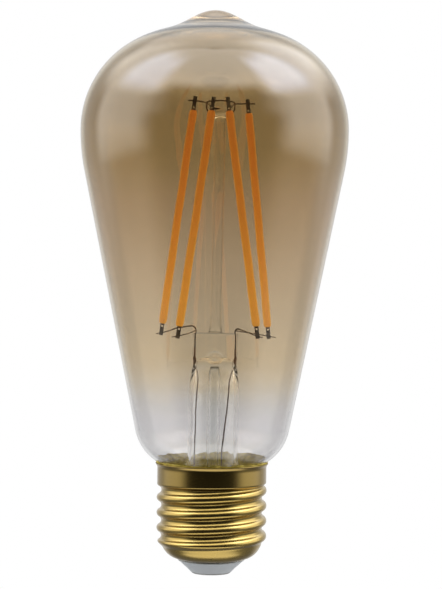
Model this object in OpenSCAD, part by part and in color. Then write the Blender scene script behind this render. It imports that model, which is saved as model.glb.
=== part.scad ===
// Filament-style smart light bulb: pear-shaped amber glass on a 27 mm Edison screw cap.
// Units are millimetres. +Z runs from the centre contact to the glass tip, and the origin
// is the middle of the centre contact's lower face.

/* [Glass bulb] */
// Largest diameter of the glass
bulb_d = 64.1; // [63.5:0.1:64.7]
// Height of the glass tip above the centre contact
bulb_h = 134.5; // [134.1:0.1:134.9]
// Height at which the glass is widest
bulb_wide_z = 105.7; // [105.3:0.1:106.1]
// Radius of the rounded shoulder above the widest place
shoulder_r = 24.0; // [23.6:0.1:24.4]
// Radius of the flatter dome on top
dome_r = 64; // [60:1:68]
// Half angle of the straight taper, in degrees
taper_angle = 11.57; // [11.5:0.01:11.64]
// Radius of the rounded bottom of the bowl
bowl_r = 11.7; // [11.4:0.1:12.0]
// Thickness of the blown glass wall
glass_t = 0.8; // [0.6:0.1:0.9]
// Radius of the neck that is cemented into the cap
neck_r = 11.4; // [11.2:0.1:11.5]

/* [Stem] */
// Lean of the stem towards +X about its seal, in degrees
stem_lean = 0.85; // [0:0.05:1]
// Outer radius of the flare tube
flare_r = 6.0; // [5.8:0.1:6.4]
// Thickness of the flare tube's wall
flare_t = 0.9; // [0.8:0.1:1.1]
// Height of the top of the pinched glass press
press_top_z = 57.4; // [57.3:0.1:57.6]
// Thickness of the press
press_t = 3.4; // [3.2:0.1:3.8]
// Radius of the solid glass rod
rod_r = 1.33; // [1.2:0.01:1.5]
// Outer radius of the exhaust tube
exhaust_r = 1.6; // [1.4:0.1:1.7]

/* [Filaments] */
// Width of the phosphor jacket
jacket_w = 1.9; // [1.7:0.1:2.1]
// Thickness of the phosphor jacket
jacket_t = 1.4; // [1.2:0.1:1.6]
// Number of LED chips on each filament
chip_count = 28; // [12:1:30]
// Width of the metal end tabs
tab_w = 0.95; // [0.8:0.05:1.0]

/* [Wires] */
// Radius of the nickel lead wires and support wires
wire_r = 0.2; // [0.16:0.01:0.22]
// Radius of the copper wires between the stem and the driver board
copper_r = 0.17; // [0.14:0.01:0.2]

/* [Screw cap] */
// Thread radius at the crest
crest_r = 13.15; // [13.08:0.01:13.22]
// Thread radius at the root
root_r = 12.05; // [12.0:0.01:12.1]
// Thread pitch, which is seven turns to the inch
pitch = 3.629; // [3.62:0.001:3.64]
// Radius of the smooth collar above the thread
collar_r = 13.05; // [13.02:0.01:13.1]
// Height of the cap's rim above the centre contact
rim_z = 26.3; // [26.2:0.1:26.4]
// Thickness of the rolled brass shell
shell_t = 0.3; // [0.25:0.01:0.32]
// Radius of the centre contact
contact_r = 4.75; // [4.6:0.05:4.9]

/* [Driver] */
// Radius of the round driver board
board_r = 10.6; // [10:0.1:10.9]
// Height of the board's lower face
board_z = 13.1; // [13:0.1:13.2]
// Thickness of the board
board_t = 0.8; // [0.6:0.1:1]

/* [Hidden] */
$fn = 64;

gap = 0.02;          // room between pieces that are fused, potted or pressed together
bulb_r = bulb_d / 2;
seal_z = 17.8;       // lower end of the neck, where the flare is sealed to it
tip_w = 7.9;         // radius over which the solid tip swells out of the dome
neck_fillet = 1.2;

// ---- curves -------------------------------------------------------------------------------

// Points on an arc in the (radius, height) plane, from angle a0 to a1.
function arc(centre, r, a0, a1, n) =
    [for (i = [0:n]) let (a = a0 + (a1 - a0) * i / n) centre + r * [cos(a), sin(a)]];

// Points on a cubic Bezier curve, without its first point.
function bezier(p0, p1, p2, p3, n) =
    [for (i = [1:n]) let (t = i / n, s = 1 - t)
        s*s*s*p0 + 3*s*s*t*p1 + 3*s*t*t*p2 + t*t*t*p3];

// Outline of a slot-shaped section: overall half width, end radius.
function stadium(half_w, r, n = 12) = concat(
    [for (i = [0:n]) let (a = -90 + 180 * i / n) [half_w - r + r * cos(a), r * sin(a)]],
    [for (i = [0:n]) let (a = 90 + 180 * i / n) [-(half_w - r) + r * cos(a), r * sin(a)]]
);

function unit(v) = v / norm(v);
function smoothstep(t) = let (c = max(0, min(1, t))) c * c * (3 - 2 * c);

// A wire's route with each corner rounded: a quadratic curve that starts and ends bend away
// from the corner, or at the middle of a short stretch.
function rounded_route(p, bend, steps = 4) = concat(
    [p[0]],
    [for (i = [1:len(p) - 2])
        let (back = p[i-1] - p[i], fore = p[i+1] - p[i],
             a = p[i] + unit(back) * min(bend, norm(back) * 0.48),
             b = p[i] + unit(fore) * min(bend, norm(fore) * 0.48))
        for (k = [0:steps]) let (t = k / steps)
            (1-t)*(1-t)*a + 2*t*(1-t)*p[i] + t*t*b],
    [p[len(p) - 1]]
);

// Direction of a route at each of its points.
function directions(p) = [for (i = [0:len(p) - 1])
    unit(p[min(i + 1, len(p) - 1)] - p[max(i - 1, 0)])];

// A side direction at each point, carried along the route without twisting.
function sides_along(d) = [for (i = 0, s = unit(cross(d[0], abs(d[0].z) < 0.9 ? [0, 0, 1] : [1, 0, 0]));
    i < len(d);
    i = i + 1, s = i < len(d) ? unit(s - (s * d[i]) * d[i]) : s) s];

// A round wire along a route.
module wire(route, r, bend = 0.6, sides = 12) {
    p = rounded_route(route, bend);
    d = directions(p);
    s = sides_along(d);
    n = len(p);
    points = [for (i = [0:n - 1]) for (k = [0:sides - 1])
        let (a = 360 * k / sides) p[i] + r * (cos(a) * s[i] + sin(a) * cross(d[i], s[i]))];
    skin = [for (i = [0:n - 2]) for (k = [0:sides - 1])
        let (k2 = (k + 1) % sides)
        [i*sides + k, (i+1)*sides + k, (i+1)*sides + k2, i*sides + k2]];
    polyhedron(points, concat(skin,
        [[for (k = [0:sides - 1]) k]],
        [[for (k = [sides - 1:-1:0]) (n - 1) * sides + k]]), convexity = 6);
}

// ---- glass envelope -----------------------------------------------------------------------

shoulder_c = [bulb_r - shoulder_r, bulb_wide_z];
// The belly's radius makes its arc run smoothly from the taper to the widest place.
taper_r0 = 11.44;    // radius at which the taper's line would meet the contact's plane
belly_r = (bulb_wide_z * tan(taper_angle) + taper_r0 - bulb_r)
    / (sin(taper_angle) * tan(taper_angle) + cos(taper_angle) - 1);
belly_c = [bulb_r - belly_r, bulb_wide_z];
// The bowl's arc touches the taper's line at bowl_z.
bowl_z = 34.1;
bowl_touch = [taper_r0 + bowl_z * tan(taper_angle), bowl_z];
bowl_c = bowl_touch - bowl_r * [cos(taper_angle), -sin(taper_angle)];
// The dome's centre is on the axis, and its arc meets the shoulder's at angle dome_a.
dome_a = acos(shoulder_c.x / (dome_r - shoulder_r));
dome_z0 = bulb_wide_z - (dome_r - shoulder_r) * sin(dome_a);
dome_top = dome_z0 + dome_r;
function dome_point(a, r) = [r * cos(a), dome_z0 + r * sin(a)];
// A concave fillet joins the bowl to the neck.
fillet_dx = neck_r + neck_fillet - bowl_c.x;
fillet_dz = sqrt(pow(bowl_r + neck_fillet, 2) - fillet_dx * fillet_dx);
fillet_c = [neck_r + neck_fillet, bowl_c.y - fillet_dz];
fillet_a = atan2(fillet_dz, -fillet_dx);

// Outline of the blown wall, set in by t from the outer face, from the neck to the dome.
function wall_outline(t) = concat(
    [[neck_r - t, seal_z]],
    arc(fillet_c, neck_fillet + t, 180, fillet_a, 5),
    arc(bowl_c, bowl_r - t, fillet_a - 180, -taper_angle, 12),
    arc(belly_c, belly_r - t, -taper_angle, 0, 5),
    arc(shoulder_c, shoulder_r - t, 0, dome_a, 20),
    [for (i = [1:14]) dome_point(dome_a + (90 - dome_a) * pow(i / 14, 0.8), dome_r - t)]
);

// Height of the solid tip above the dome at a radius.
function tip_rise(r) = (bulb_h - dome_top) * exp(-pow(r / tip_w, 2.2));

module glass_envelope() {
    outer = [for (p = wall_outline(0)) [p.x, p.y + (p.y > bulb_wide_z ? tip_rise(p.x) : 0)]];
    inner = wall_outline(glass_t);
    color([0.62, 0.5, 0.34, 0.45])
        rotate_extrude()
            polygon(concat(outer, [for (i = [len(inner) - 1:-1:0]) inner[i]]));
}

// ---- stem ---------------------------------------------------------------------------------

// Carries the stem and all that it holds to its slightly leaning place.
module stem_pose() {
    translate([0, 0, seal_z]) rotate([0, stem_lean, 0]) translate([0, 0, -seal_z]) children();
}

tube_top_z = 44.9;       // where the round flare tube starts to flatten
press_low_z = 50.9;      // lower end of the flat press
press_half_w = 5.5;
hollow_half_w = 5.0;     // half width of the hollow's flat upper end
lead_x = 4.65;           // distance of each lead from the stem's axis in the press
dumet_top_z = 53.8;      // where the seal wire is welded to the inner lead
bead_z = [49.9, 51.5];   // lower and upper ends of the thick copper joint
port_z = 51.6;           // height of the exhaust port
flare_foot_r = neck_r - glass_t - gap;

// Outline of the flare tube at a distance t inside its outer face.
function flare_outline(t) = concat(
    [[flare_foot_r - t, seal_z]],
    bezier([flare_foot_r - t, seal_z + 0.6], [flare_foot_r - t - 0.4, seal_z + 3.5],
           [flare_r - t + 0.2, seal_z + 4.5], [flare_r - t, seal_z + 11.5], 10),
    [[flare_r - t, tube_top_z]]
);

module slab(half_w, t, z0, z1) {
    translate([0, 0, z0]) linear_extrude(z1 - z0) polygon(stadium(half_w, t / 2));
}

module stem_flare() {
    outer = flare_outline(0);
    inner = flare_outline(flare_t);
    stem_pose() color([0.86, 0.88, 0.86, 0.4]) difference() {
        union() {
            rotate_extrude() polygon(concat([[0, seal_z]], outer, [[0, tube_top_z]]));
            hull() {
                translate([0, 0, tube_top_z - 0.3]) cylinder(r = flare_r - gap, h = 0.1, $fn = 32);
                slab(press_half_w, press_t, press_low_z, press_low_z + 0.2);
            }
            slab(press_half_w, press_t, press_low_z, press_top_z);
            translate([0, -press_t / 2 + 0.4, port_z]) rotate([90, 0, 0])
                cylinder(r = 1.75, h = 0.75);
        }
        translate([0, 0, -0.1]) rotate_extrude()
            polygon(concat([[0, seal_z]], inner, [[0, tube_top_z]]));
        hull() {
            translate([0, 0, tube_top_z - 0.4])
                cylinder(r = flare_r - flare_t - gap, h = 0.1, $fn = 32);
            slab(hollow_half_w, 1.5, press_low_z, press_low_z + 0.2);
        }
        translate([0, 0, tube_top_z]) cylinder(r = exhaust_r + gap, h = press_low_z - tube_top_z + 0.1);
        translate([0, 0, press_low_z]) cylinder(r = exhaust_r - 0.6, h = port_z - press_low_z + 0.6);
        translate([0, 0.4, port_z]) rotate([90, 0, 0]) cylinder(r = 1.25, h = 4);
        for (side = [-1, 1]) translate([side * lead_x, 0, 0]) {
            translate([0, 0, dumet_top_z - 0.1]) cylinder(r = wire_r + gap, h = 6);
            translate([0, 0, bead_z[1]]) cylinder(r = wire_r + 0.05 + gap, h = dumet_top_z - bead_z[1]);
            translate([0, 0, bead_z[0] - 0.6]) cylinder(r = 0.4 + gap, h = bead_z[1] - bead_z[0] + 0.6);
        }
    }
}

exhaust_tip_z = 15.2;    // lower end of the sealed-off exhaust tube

module exhaust_tube() {
    top = press_low_z + 0.06;
    bore = exhaust_r - 0.6;
    stem_pose() color([0.86, 0.88, 0.86, 0.4]) rotate_extrude() polygon(concat(
        [[0, exhaust_tip_z], [0.5, exhaust_tip_z + 0.15], [0.9, exhaust_tip_z + 0.7],
         [1.3, exhaust_tip_z + 1.9], [exhaust_r, exhaust_tip_z + 3.4]],
        [[exhaust_r, top], [bore, top], [bore, exhaust_tip_z + 4], [0, exhaust_tip_z + 2.6]]
    ));
}

button_z = 110.8;        // middle of the rod's melted button
button_r = 2.4;
button_half_h = 1.15;

module rod_solid() {
    foot = press_top_z;
    rotate_extrude() polygon(concat(
        [[0, foot], [1.7, foot], [1.6, foot + 0.35], [1.42, foot + 0.9], [rod_r, foot + 1.8]],
        [[rod_r, button_z - 2.2]],
        bezier([rod_r, button_z - 2.2], [rod_r, button_z - 1.4],
               [button_r, button_z - button_half_h], [button_r, button_z], 8),
        [for (i = [1:8]) let (a = 90 * i / 8)
            [button_r * cos(a), button_z + button_half_h * sin(a)]]
    ));
}

module stem_rod() {
    stem_pose() color([0.86, 0.88, 0.86, 0.4]) difference() {
        rod_solid();
        wire(top_rear_route, wire_r + gap);
        wire(top_front_route, wire_r + gap);
    }
}

// ---- filaments ----------------------------------------------------------------------------

// Where each filament's end tabs cross their wires: [foot, head], in the stem's own frame.
// Filaments 1 and 4 stand behind the rod, and 2 and 3 in front of it.
filament_ends = [
    [[-13.3,  6.5, 57.0], [-6.3,  2.8, 113.3]],
    [[ -8.7, -9.0, 56.7], [-1.8, -4.5, 112.4]],
    [[  9.8, -9.0, 57.1], [ 1.7, -4.5, 112.4]],
    [[ 13.0,  6.5, 56.7], [ 6.5,  2.8, 112.8]]
];
tab_t = 0.2;
tab_over = [0.6, 1.0];       // how far the tabs pass their wires, at the foot and the head
jacket_inset = [2.3, 2.4];   // from the wires to the phosphor, at the foot and the head
weld_y = tab_t / 2 + wire_r + 0.04; // a wire's centre lies this far behind its tab's middle
channel = [0.84, 0.44];      // width and thickness of the channel in the phosphor
chip = [0.5, 0.16, 1.1];     // width, height and length of one LED chip
root_len = 1.4;              // length of a tab's root inside the phosphor

function filament_length(i) = norm(filament_ends[i][1] - filament_ends[i][0]);

// Places children in filament i's frame: Z from foot to head, Y away from the front.
module filament_pose(i) {
    foot = filament_ends[i][0];
    z = unit(filament_ends[i][1] - foot);
    x = unit(cross([0, 1, 0], z));
    y = cross(z, x);
    stem_pose() multmatrix([
        [x.x, y.x, z.x, foot.x],
        [x.y, y.y, z.y, foot.y],
        [x.z, y.z, z.z, foot.z],
        [0, 0, 0, 1]]) children();
}

module filament_phosphor(i) {
    low = jacket_inset[0];
    high = filament_length(i) - jacket_inset[1];
    w = channel.x / 2;
    t = channel.y / 2;
    c = chip.x / 2 + gap;
    ch = chip.y + gap;
    filament_pose(i) color([0.93, 0.56, 0.16]) difference() {
        translate([0, 0, low]) linear_extrude(high - low) polygon(stadium(jacket_w / 2, jacket_t / 2, 8));
        translate([0, 0, low - 1]) linear_extrude(high - low + 2)
            polygon([[-w, t], [-w, -t], [-c, -t], [-c, -t - ch], [c, -t - ch], [c, -t], [w, -t], [w, t]]);
    }
}

module filament_substrate(i) {
    low = jacket_inset[0] + root_len + gap;
    high = filament_length(i) - jacket_inset[1] - root_len - gap;
    filament_pose(i) color([0.92, 0.92, 0.88])
        translate([-channel.x / 2 + gap, -channel.y / 2, low])
            cube([channel.x - 2 * gap, channel.y - gap, high - low]);
}

module filament_led_chips(i) {
    low = jacket_inset[0] + root_len + 0.5;
    high = filament_length(i) - jacket_inset[1] - root_len - 0.5 - chip.z;
    filament_pose(i) color([0.35, 0.5, 0.75])
        for (k = [0:chip_count - 1])
            translate([-chip.x / 2, -channel.y / 2 - chip.y, low + (high - low) * k / (chip_count - 1)])
                cube(chip);
}

// One end tab: its root lies in the phosphor and its blade points along +Z past the wire.
module end_tab(blade_len) {
    difference() {
        union() {
            translate([-channel.x / 2 + gap, -channel.y / 2 + gap / 2, -root_len])
                cube([channel.x - 2 * gap, channel.y - gap, root_len + 0.1]);
            translate([-tab_w / 2, -tab_t / 2, 0]) cube([tab_w, tab_t, blade_len]);
        }
        translate([0, 1, 0.65]) rotate([90, 0, 0]) cylinder(r = 0.24, h = 2, $fn = 24);
    }
}

module filament_end_tabs(i) {
    filament_pose(i) color([0.45, 0.44, 0.42]) {
        translate([0, 0, jacket_inset[0]]) rotate([0, 180, 0]) end_tab(jacket_inset[0] + tab_over[0]);
        translate([0, 0, filament_length(i) - jacket_inset[1]]) end_tab(jacket_inset[1] + tab_over[1]);
    }
}

// ---- wires in the stem ----------------------------------------------------------------------

// A point on the wire that lies behind a filament's tab: filament, end (0 foot, 1 head), dx, dz.
function weld(i, end, dx = 0, dz = 0) = filament_ends[i][end] + [dx, weld_y, dz];

inner_left_route = [
    [-lead_x, 0, dumet_top_z], [-lead_x, 0, press_top_z + 0.8], [-5.4, 0.6, 59.05],
    [-9.5, 4.6, 58.3], weld(0, 0, 1.9, 0.45), weld(0, 0), weld(0, 0, -1.3, -0.3)
];
inner_right_route = [
    [lead_x, 0, dumet_top_z], [lead_x, 0, press_top_z + 0.7], [5.3, -1.1, 58.6],
    [7.6, -7.6, 57.9], weld(2, 0, -1.3, 0.35), weld(2, 0), weld(2, 0, 1.2, -0.35)
];
arm_left_route = [
    [-4.7, -2 * wire_r - 0.02, 57.9], [-5.3, -3.4, 57.7], [-6.6, -8.2, 57.2],
    weld(1, 0, -0.2, -0.05), weld(1, 0, -1.4, -0.3)
];
arm_right_route = [
    [4.7, 2 * wire_r + 0.02, 58], [6.4, 2.4, 57.8], [9.6, 6.2, 57.3],
    weld(3, 0, -0.3, 0.06), weld(3, 0, 1.8, -0.25)
];
top_rear_route = [
    weld(0, 1, -1.6, -0.05), weld(0, 1, 0, 0), weld(0, 1, 2.4, -0.35), [-2.9, 1.3, 112.4], [-2.2, 0.7, 111.2],
    [2.2, 0.7, 111.2], [2.9, 1.3, 112.2], weld(3, 1, -3.0, -0.1), weld(3, 1), weld(3, 1, 1.7, 0)
];
top_front_route = [
    [-1.2, -0.7, 110.5], [-2.9, -0.8, 110.1], [-3.4, -1.6, 110.9], [-3.3, -3.6, 112.2],
    weld(1, 1, -0.9, 0), weld(1, 1), [0, weld(1, 1).y, 112.6], weld(2, 1),
    weld(2, 1, 0.9, 0), [3.3, -3.6, 112.2], [3.4, -1.6, 110.9], [2.9, -0.8, 110.1], [1.2, -0.7, 110.5]
];
pad_z = board_z + board_t;
outer_left_route = [
    [-lead_x, 0, bead_z[0]], [-lead_x, 0, 49.3], [-4.15, 0, 47.9], [-4.1, 0, 44.9], [-4.4, 0.1, 37.3],
    [-4.4, 0, 28.3], [-4.3, -0.5, 19.3], [-4.2, -0.8, pad_z + 0.5]
];
outer_right_route = [
    [lead_x, 0, bead_z[0]], [lead_x, 0, 49.3], [4.1, 0, 47.9], [3.6, -0.3, 44.9], [3.0, -0.8, 37.3],
    [2.1, -1.4, 29.3], [2.2, -2.0, 21.3], [2.6, -2.1, pad_z + 0.5]
];

module nickel(route) { stem_pose() color([0.4, 0.38, 0.34]) wire(route, wire_r); }
module copper(route) { stem_pose() color([0.62, 0.38, 0.24]) wire(route, copper_r, 1.2, 10); }

module seal_wire(side) {
    stem_pose() color([0.55, 0.3, 0.2]) translate([side * lead_x, 0, 0]) union() {
        translate([0, 0, bead_z[0]]) cylinder(r = 0.4, h = bead_z[1] - bead_z[0]);
        translate([0, 0, bead_z[1] - 0.1]) cylinder(r = wire_r + 0.05, h = dumet_top_z - bead_z[1] + 0.1);
    }
}

// ---- screw cap ------------------------------------------------------------------------------

arc_r = pow(pitch / 2, 2) / (4 * (crest_r - root_r)) + (crest_r - root_r) / 4; // crest and root arcs touch
crest_z0 = 1.65;         // height of a crest on the +X side
thread_low = [6.1, 8.1]; // the thread grows out of the rounded base between these heights
thread_high = [20.6, 21.7];  // and dies into the collar between these
base_c = [7.4, 8.1];     // centre of the rounded base's arc
base_arc_r = root_r - base_c.x;
base_start_a = -82;
join_z = 21.8;           // where the rolled thread meets the plain collar
segments = 48;
arc_rows = 8;
thread_rows = 39;

// Radius of the thread at a height h measured from a crest.
function thread_r(h) = let (a = abs(h - pitch * round(h / pitch)))
    a <= pitch / 4
        ? crest_r - arc_r + sqrt(arc_r * arc_r - a * a)
        : root_r + arc_r - sqrt(arc_r * arc_r - pow(pitch / 2 - a, 2));

function base_r(z) = z >= base_c.y ? root_r : base_c.x + sqrt(base_arc_r * base_arc_r - pow(base_c.y - z, 2));

// Radius of the shell's outer face at a height and an angle round the axis.
function shell_r(z, angle) =
    let (low = smoothstep((z - thread_low[0]) / (thread_low[1] - thread_low[0])),
         high = smoothstep((z - thread_high[0]) / (thread_high[1] - thread_high[0])),
         cut = thread_r(z - crest_z0 - pitch * angle / 360),
         grown = base_r(z) * (1 - low) + cut * low)
    grown * (1 - high) + (collar_r - 0.01) * high;

// One row of the shell's wall, as [outer ring, inner ring].
function arc_row(i) = let (a = base_start_a + (-base_start_a - 26) * i / arc_rows)
    [for (t = [0, shell_t]) [for (k = [0:segments - 1]) let (q = 360 * k / segments,
        r = base_c.x + (base_arc_r - t) * cos(a), z = base_c.y + (base_arc_r - t) * sin(a))
        [r * cos(q), r * sin(q), z]]];
row_z0 = base_c.y - base_arc_r * sin(26) + 0.15;
function thread_row(i) = let (z = row_z0 + (join_z + 0.1 - row_z0) * i / thread_rows)
    [for (t = [0, shell_t - 0.04]) [for (k = [0:segments - 1]) let (q = 360 * k / segments,
        r = shell_r(z, q) - t) [r * cos(q), r * sin(q), z]]];

module rolled_thread() {
    rows = concat([for (i = [0:arc_rows - 1]) arc_row(i)], [for (i = [0:thread_rows]) thread_row(i)]);
    n = len(rows);
    ring = 2 * segments;
    points = [for (row = rows) for (face = row) for (p = face) p];
    outer = [for (i = [0:n - 2]) for (k = [0:segments - 1]) let (k2 = (k + 1) % segments)
        [i*ring + k, (i+1)*ring + k, (i+1)*ring + k2, i*ring + k2]];
    inner = [for (i = [0:n - 2]) for (k = [0:segments - 1]) let (k2 = (k + 1) % segments, s = segments)
        [i*ring + s + k2, (i+1)*ring + s + k2, (i+1)*ring + s + k, i*ring + s + k]];
    ends = [for (k = [0:segments - 1]) let (k2 = (k + 1) % segments, s = segments, e = (n - 1) * ring)
        each [[k, k2, s + k2, s + k], [e + k2, e + k, e + s + k, e + s + k2]]];
    polyhedron(points, concat(outer, inner, ends), convexity = 10);
}

module collar() {
    inner = collar_r - shell_t;
    rotate_extrude() polygon([
        [inner, join_z - 0.1], [collar_r, join_z - 0.1], [collar_r, rim_z - 1.1], [collar_r + 0.12, rim_z - 0.7],
        [collar_r + 0.42, rim_z - 0.25], [collar_r + 0.42, rim_z], [collar_r + 0.2, rim_z],
        [collar_r - 0.12, rim_z - 0.55], [inner, rim_z - 1.0]]);
}

module cap_shell() {
    color([0.72, 0.58, 0.3]) union() {
        rolled_thread();
        collar();
    }
}

// Radius just outside the bowl at a height, where cement touches it.
function under_bowl(z) = bowl_c.x + sqrt(pow(bowl_r + 2 * gap, 2) - pow(bowl_c.y - z, 2));

// Cement between the glass neck and the shell, squeezed out under the bowl and over the rim.
module cap_cement() {
    in_thread = root_r - shell_t - 0.06;
    in_collar = collar_r - shell_t - gap;
    glass = neck_r + gap;
    lift = arc(fillet_c, neck_fillet - gap, 180, fillet_a, 4);
    squeezed = [for (z = [rim_z, rim_z + 0.25, rim_z + 0.5]) [under_bowl(z), z]];
    color([0.78, 0.74, 0.6]) rotate_extrude() polygon(concat(
        [[glass, seal_z + 0.3]], lift, squeezed,
        [[collar_r + 0.3, rim_z + 0.06], [collar_r + 0.15, rim_z + gap], [collar_r - 0.17, rim_z - 0.55 + gap],
         [in_collar, rim_z - 1.0]],
        [[in_collar, join_z + 0.5], [in_thread, join_z - 0.6], [in_thread, seal_z + 0.3]]));
}

insulator_lip_r = 7.7;   // radius of the insulator where the shell's edge grips it
insulator_foot = [5.2, 0.35];
pin_r = 1.5;             // radius of the contact's shank

module cap_insulator() {
    edge_z = base_c.y + base_arc_r * sin(base_start_a);
    color([0.9, 0.91, 0.91]) rotate_extrude() polygon([
        [pin_r + gap, insulator_foot.y], [insulator_foot.x - 0.3, insulator_foot.y],
        [insulator_foot.x, insulator_foot.y + 0.2],
        [insulator_lip_r + 0.35, edge_z - 0.1], [insulator_lip_r, edge_z],
        [insulator_lip_r, edge_z + 0.5], [9.0, edge_z + 0.95], [9.9, 5.4], [9.9, 6.3],
        [7.4, 6.3], [6.8, 3.3], [2.9, 3.3], [2.9, 6.7], [pin_r + gap, 6.7]]);
}

module centre_contact() {
    head_t = insulator_foot.y - gap;
    color([0.75, 0.75, 0.74]) rotate_extrude() polygon(concat(
        [[0, 0]], arc([contact_r - 0.3, 0.3], 0.3, -90, 0, 5), [[contact_r, head_t]],
        [[pin_r, head_t], [pin_r, 7.3], [1.1, 7.9], [0, 7.9]]));
}

// ---- driver ---------------------------------------------------------------------------------

under_z = board_z - 0.05;    // components hang from here
over_z = pad_z + 0.05;       // and stand from here

module driver_board() {
    color([0.13, 0.4, 0.22]) translate([0, 0, board_z]) difference() {
        cylinder(r = board_r, h = board_t);
        translate([0, 0, -1]) cylinder(r = 1.2, h = 4);
        translate([-board_r, -1.4, -1]) cube([1.2, 2.8, 4]);
        for (p = [[-4.2, -0.8], [2.6, -2.1]]) translate([p.x, p.y, -1]) cylinder(r = 0.35, h = 4);
    }
}

// A moulded chip package with bent leads on two sides, lying on the XY plane.
module leaded_package(body, pitch_x, per_side, lead_w) {
    translate([-body.x / 2, -body.y / 2, 0.12]) cube(body);
    for (side = [-1, 1], i = [0:per_side - 1])
        translate([(i - (per_side - 1) / 2) * pitch_x - lead_w / 2, side > 0 ? body.y / 2 : -body.y / 2 - 0.9, 0])
            cube([lead_w, 0.9, 0.2]);
}

module bridge_rectifier() {
    color([0.12, 0.12, 0.13]) translate([-5.4, 4.6, over_z]) leaded_package([4.7, 3.8, 1.4], 2.5, 2, 0.6);
}

module driver_chip() {
    color([0.12, 0.12, 0.13]) translate([5.2, 4.2, over_z]) leaded_package([4.9, 3.9, 1.45], 1.27, 4, 0.42);
}

can_r = 3.1;
can_y = [-4.6, 4.4];         // ends of the capacitor's can

module smoothing_capacitor() {
    color([0.16, 0.17, 0.2]) translate([-6.0, 0, under_z - can_r - 0.1]) rotate([-90, 0, 0])
        translate([0, 0, can_y[0]]) difference() {
            cylinder(r = can_r, h = can_y[1] - can_y[0]);
            translate([0, 0, can_y[1] - can_y[0] - 1.2]) cylinder(r = can_r - 0.35, h = 2);
        }
}

module capacitor_bung() {
    color([0.1, 0.1, 0.1]) translate([-6.0, can_y[1] - 1.2 + gap, under_z - can_r - 0.1]) {
        rotate([-90, 0, 0]) cylinder(r = can_r - 0.35 - gap, h = 1.0);
        for (x = [-1.2, 1.2]) translate([x, 0.9, 0]) rotate([-90, 0, 0]) cylinder(r = 0.25, h = 1.0, $fn = 24);
    }
}

core_at = [5.6, 4.0];

module inductor_core() {
    color([0.2, 0.2, 0.22]) translate([core_at.x, core_at.y, under_z - 5.8]) union() {
        cylinder(r = 3.0, h = 0.9);
        translate([0, 0, 0.8]) cylinder(r = 1.3, h = 4.0);
        translate([0, 0, 4.7]) cylinder(r = 3.0, h = 0.9);
    }
}

module inductor_winding() {
    color([0.72, 0.4, 0.2]) translate([core_at.x, core_at.y, under_z - 4.88]) difference() {
        cylinder(r = 2.6, h = 3.75);
        translate([0, 0, -1]) cylinder(r = 1.3 + gap, h = 6);
    }
}

module film_capacitor() {
    color([0.78, 0.6, 0.2]) translate([0.2, -9.4, under_z - 5.4]) cube([6.0, 2.6, 5.2]);
}

resistor_at = [3.0, -4.4];

module fusible_resistor() {
    color([0.35, 0.5, 0.6]) translate([resistor_at.x, resistor_at.y, under_z - 5.6]) union() {
        cylinder(r = 1.05, h = 0.9);
        translate([0, 0, 0.8]) cylinder(r = 0.9, h = 3.0);
        translate([0, 0, 3.7]) cylinder(r = 1.05, h = 0.9);
        translate([0, 0, 4.5]) cylinder(r = 0.3, h = 1.1, $fn = 24);
    }
}

module radio_module() {
    color([0.1, 0.25, 0.5]) translate([-4.5, -9.0, over_z]) cube([9.0, 5.8, 0.6]);
}

module radio_shield() {
    color([0.75, 0.75, 0.74]) translate([-4.1, -8.6, over_z + 0.62]) difference() {
        cube([5.6, 5.0, 1.3]);
        translate([0.15, 0.15, -0.1]) cube([5.3, 4.7, 1.25]);
    }
}

module chip_antenna() {
    color([0.9, 0.9, 0.86]) translate([2.3, -8.2, over_z + 0.62]) cube([1.6, 3.2, 0.5]);
}

// Chip resistors and capacitors, as separate blocks on the board's upper face.
module small_parts() {
    places = [[-8.2, 1.2], [-8.2, -0.8], [-7.4, -3.4], [-5.8, -2.6], [0.2, 8.2], [1.8, 8.2], [-1.4, 8.2],
              [8.4, -0.6], [7.0, -0.6], [8.2, -2.6], [6.8, -2.6], [-0.6, 4.4], [0.9, 4.4]];
    color([0.55, 0.45, 0.35]) for (p = places)
        translate([p.x - 0.4, p.y - 0.8, over_z]) cube([0.8, 1.6, 0.5]);
}

// Solder where the two copper wires and the two supply wires meet the board.
module solder_joints() {
    color([0.7, 0.7, 0.7]) {
        for (p = [[-4.2, -0.8], [2.6, -2.1]]) stem_pose()
            translate([p.x, p.y, pad_z + 0.1]) difference() {
                cylinder(r1 = 0.8, r2 = 0.35, h = 0.7);
                translate([0, 0, 0.4 - gap]) cylinder(r = copper_r + gap, h = 2);
            }
    }
}

live_route = [[0, 0, 8.0], [0, -0.2, 8.7], [1.0, -2.0, 8.5], [2.2, -4.2, 6.5],
              [3.0, -4.4, 6.2], [3.0, -4.4, under_z - 5.7]];
neutral_route = [[-10.0, 0, board_z - 0.1], [-10.0, 0, 15.1], [-10.9, 0, 16.3], [-11.57, 0, 17.2],
                 [-11.57, 0, 18.0]];

module live_wire() { color([0.75, 0.15, 0.1]) wire(live_route, 0.3, 0.8, 10); }
module neutral_wire() { color([0.15, 0.15, 0.6]) wire(neutral_route, 0.12, 0.8, 8); }

// ---- nodes ----------------------------------------------------------------------------------

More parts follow.
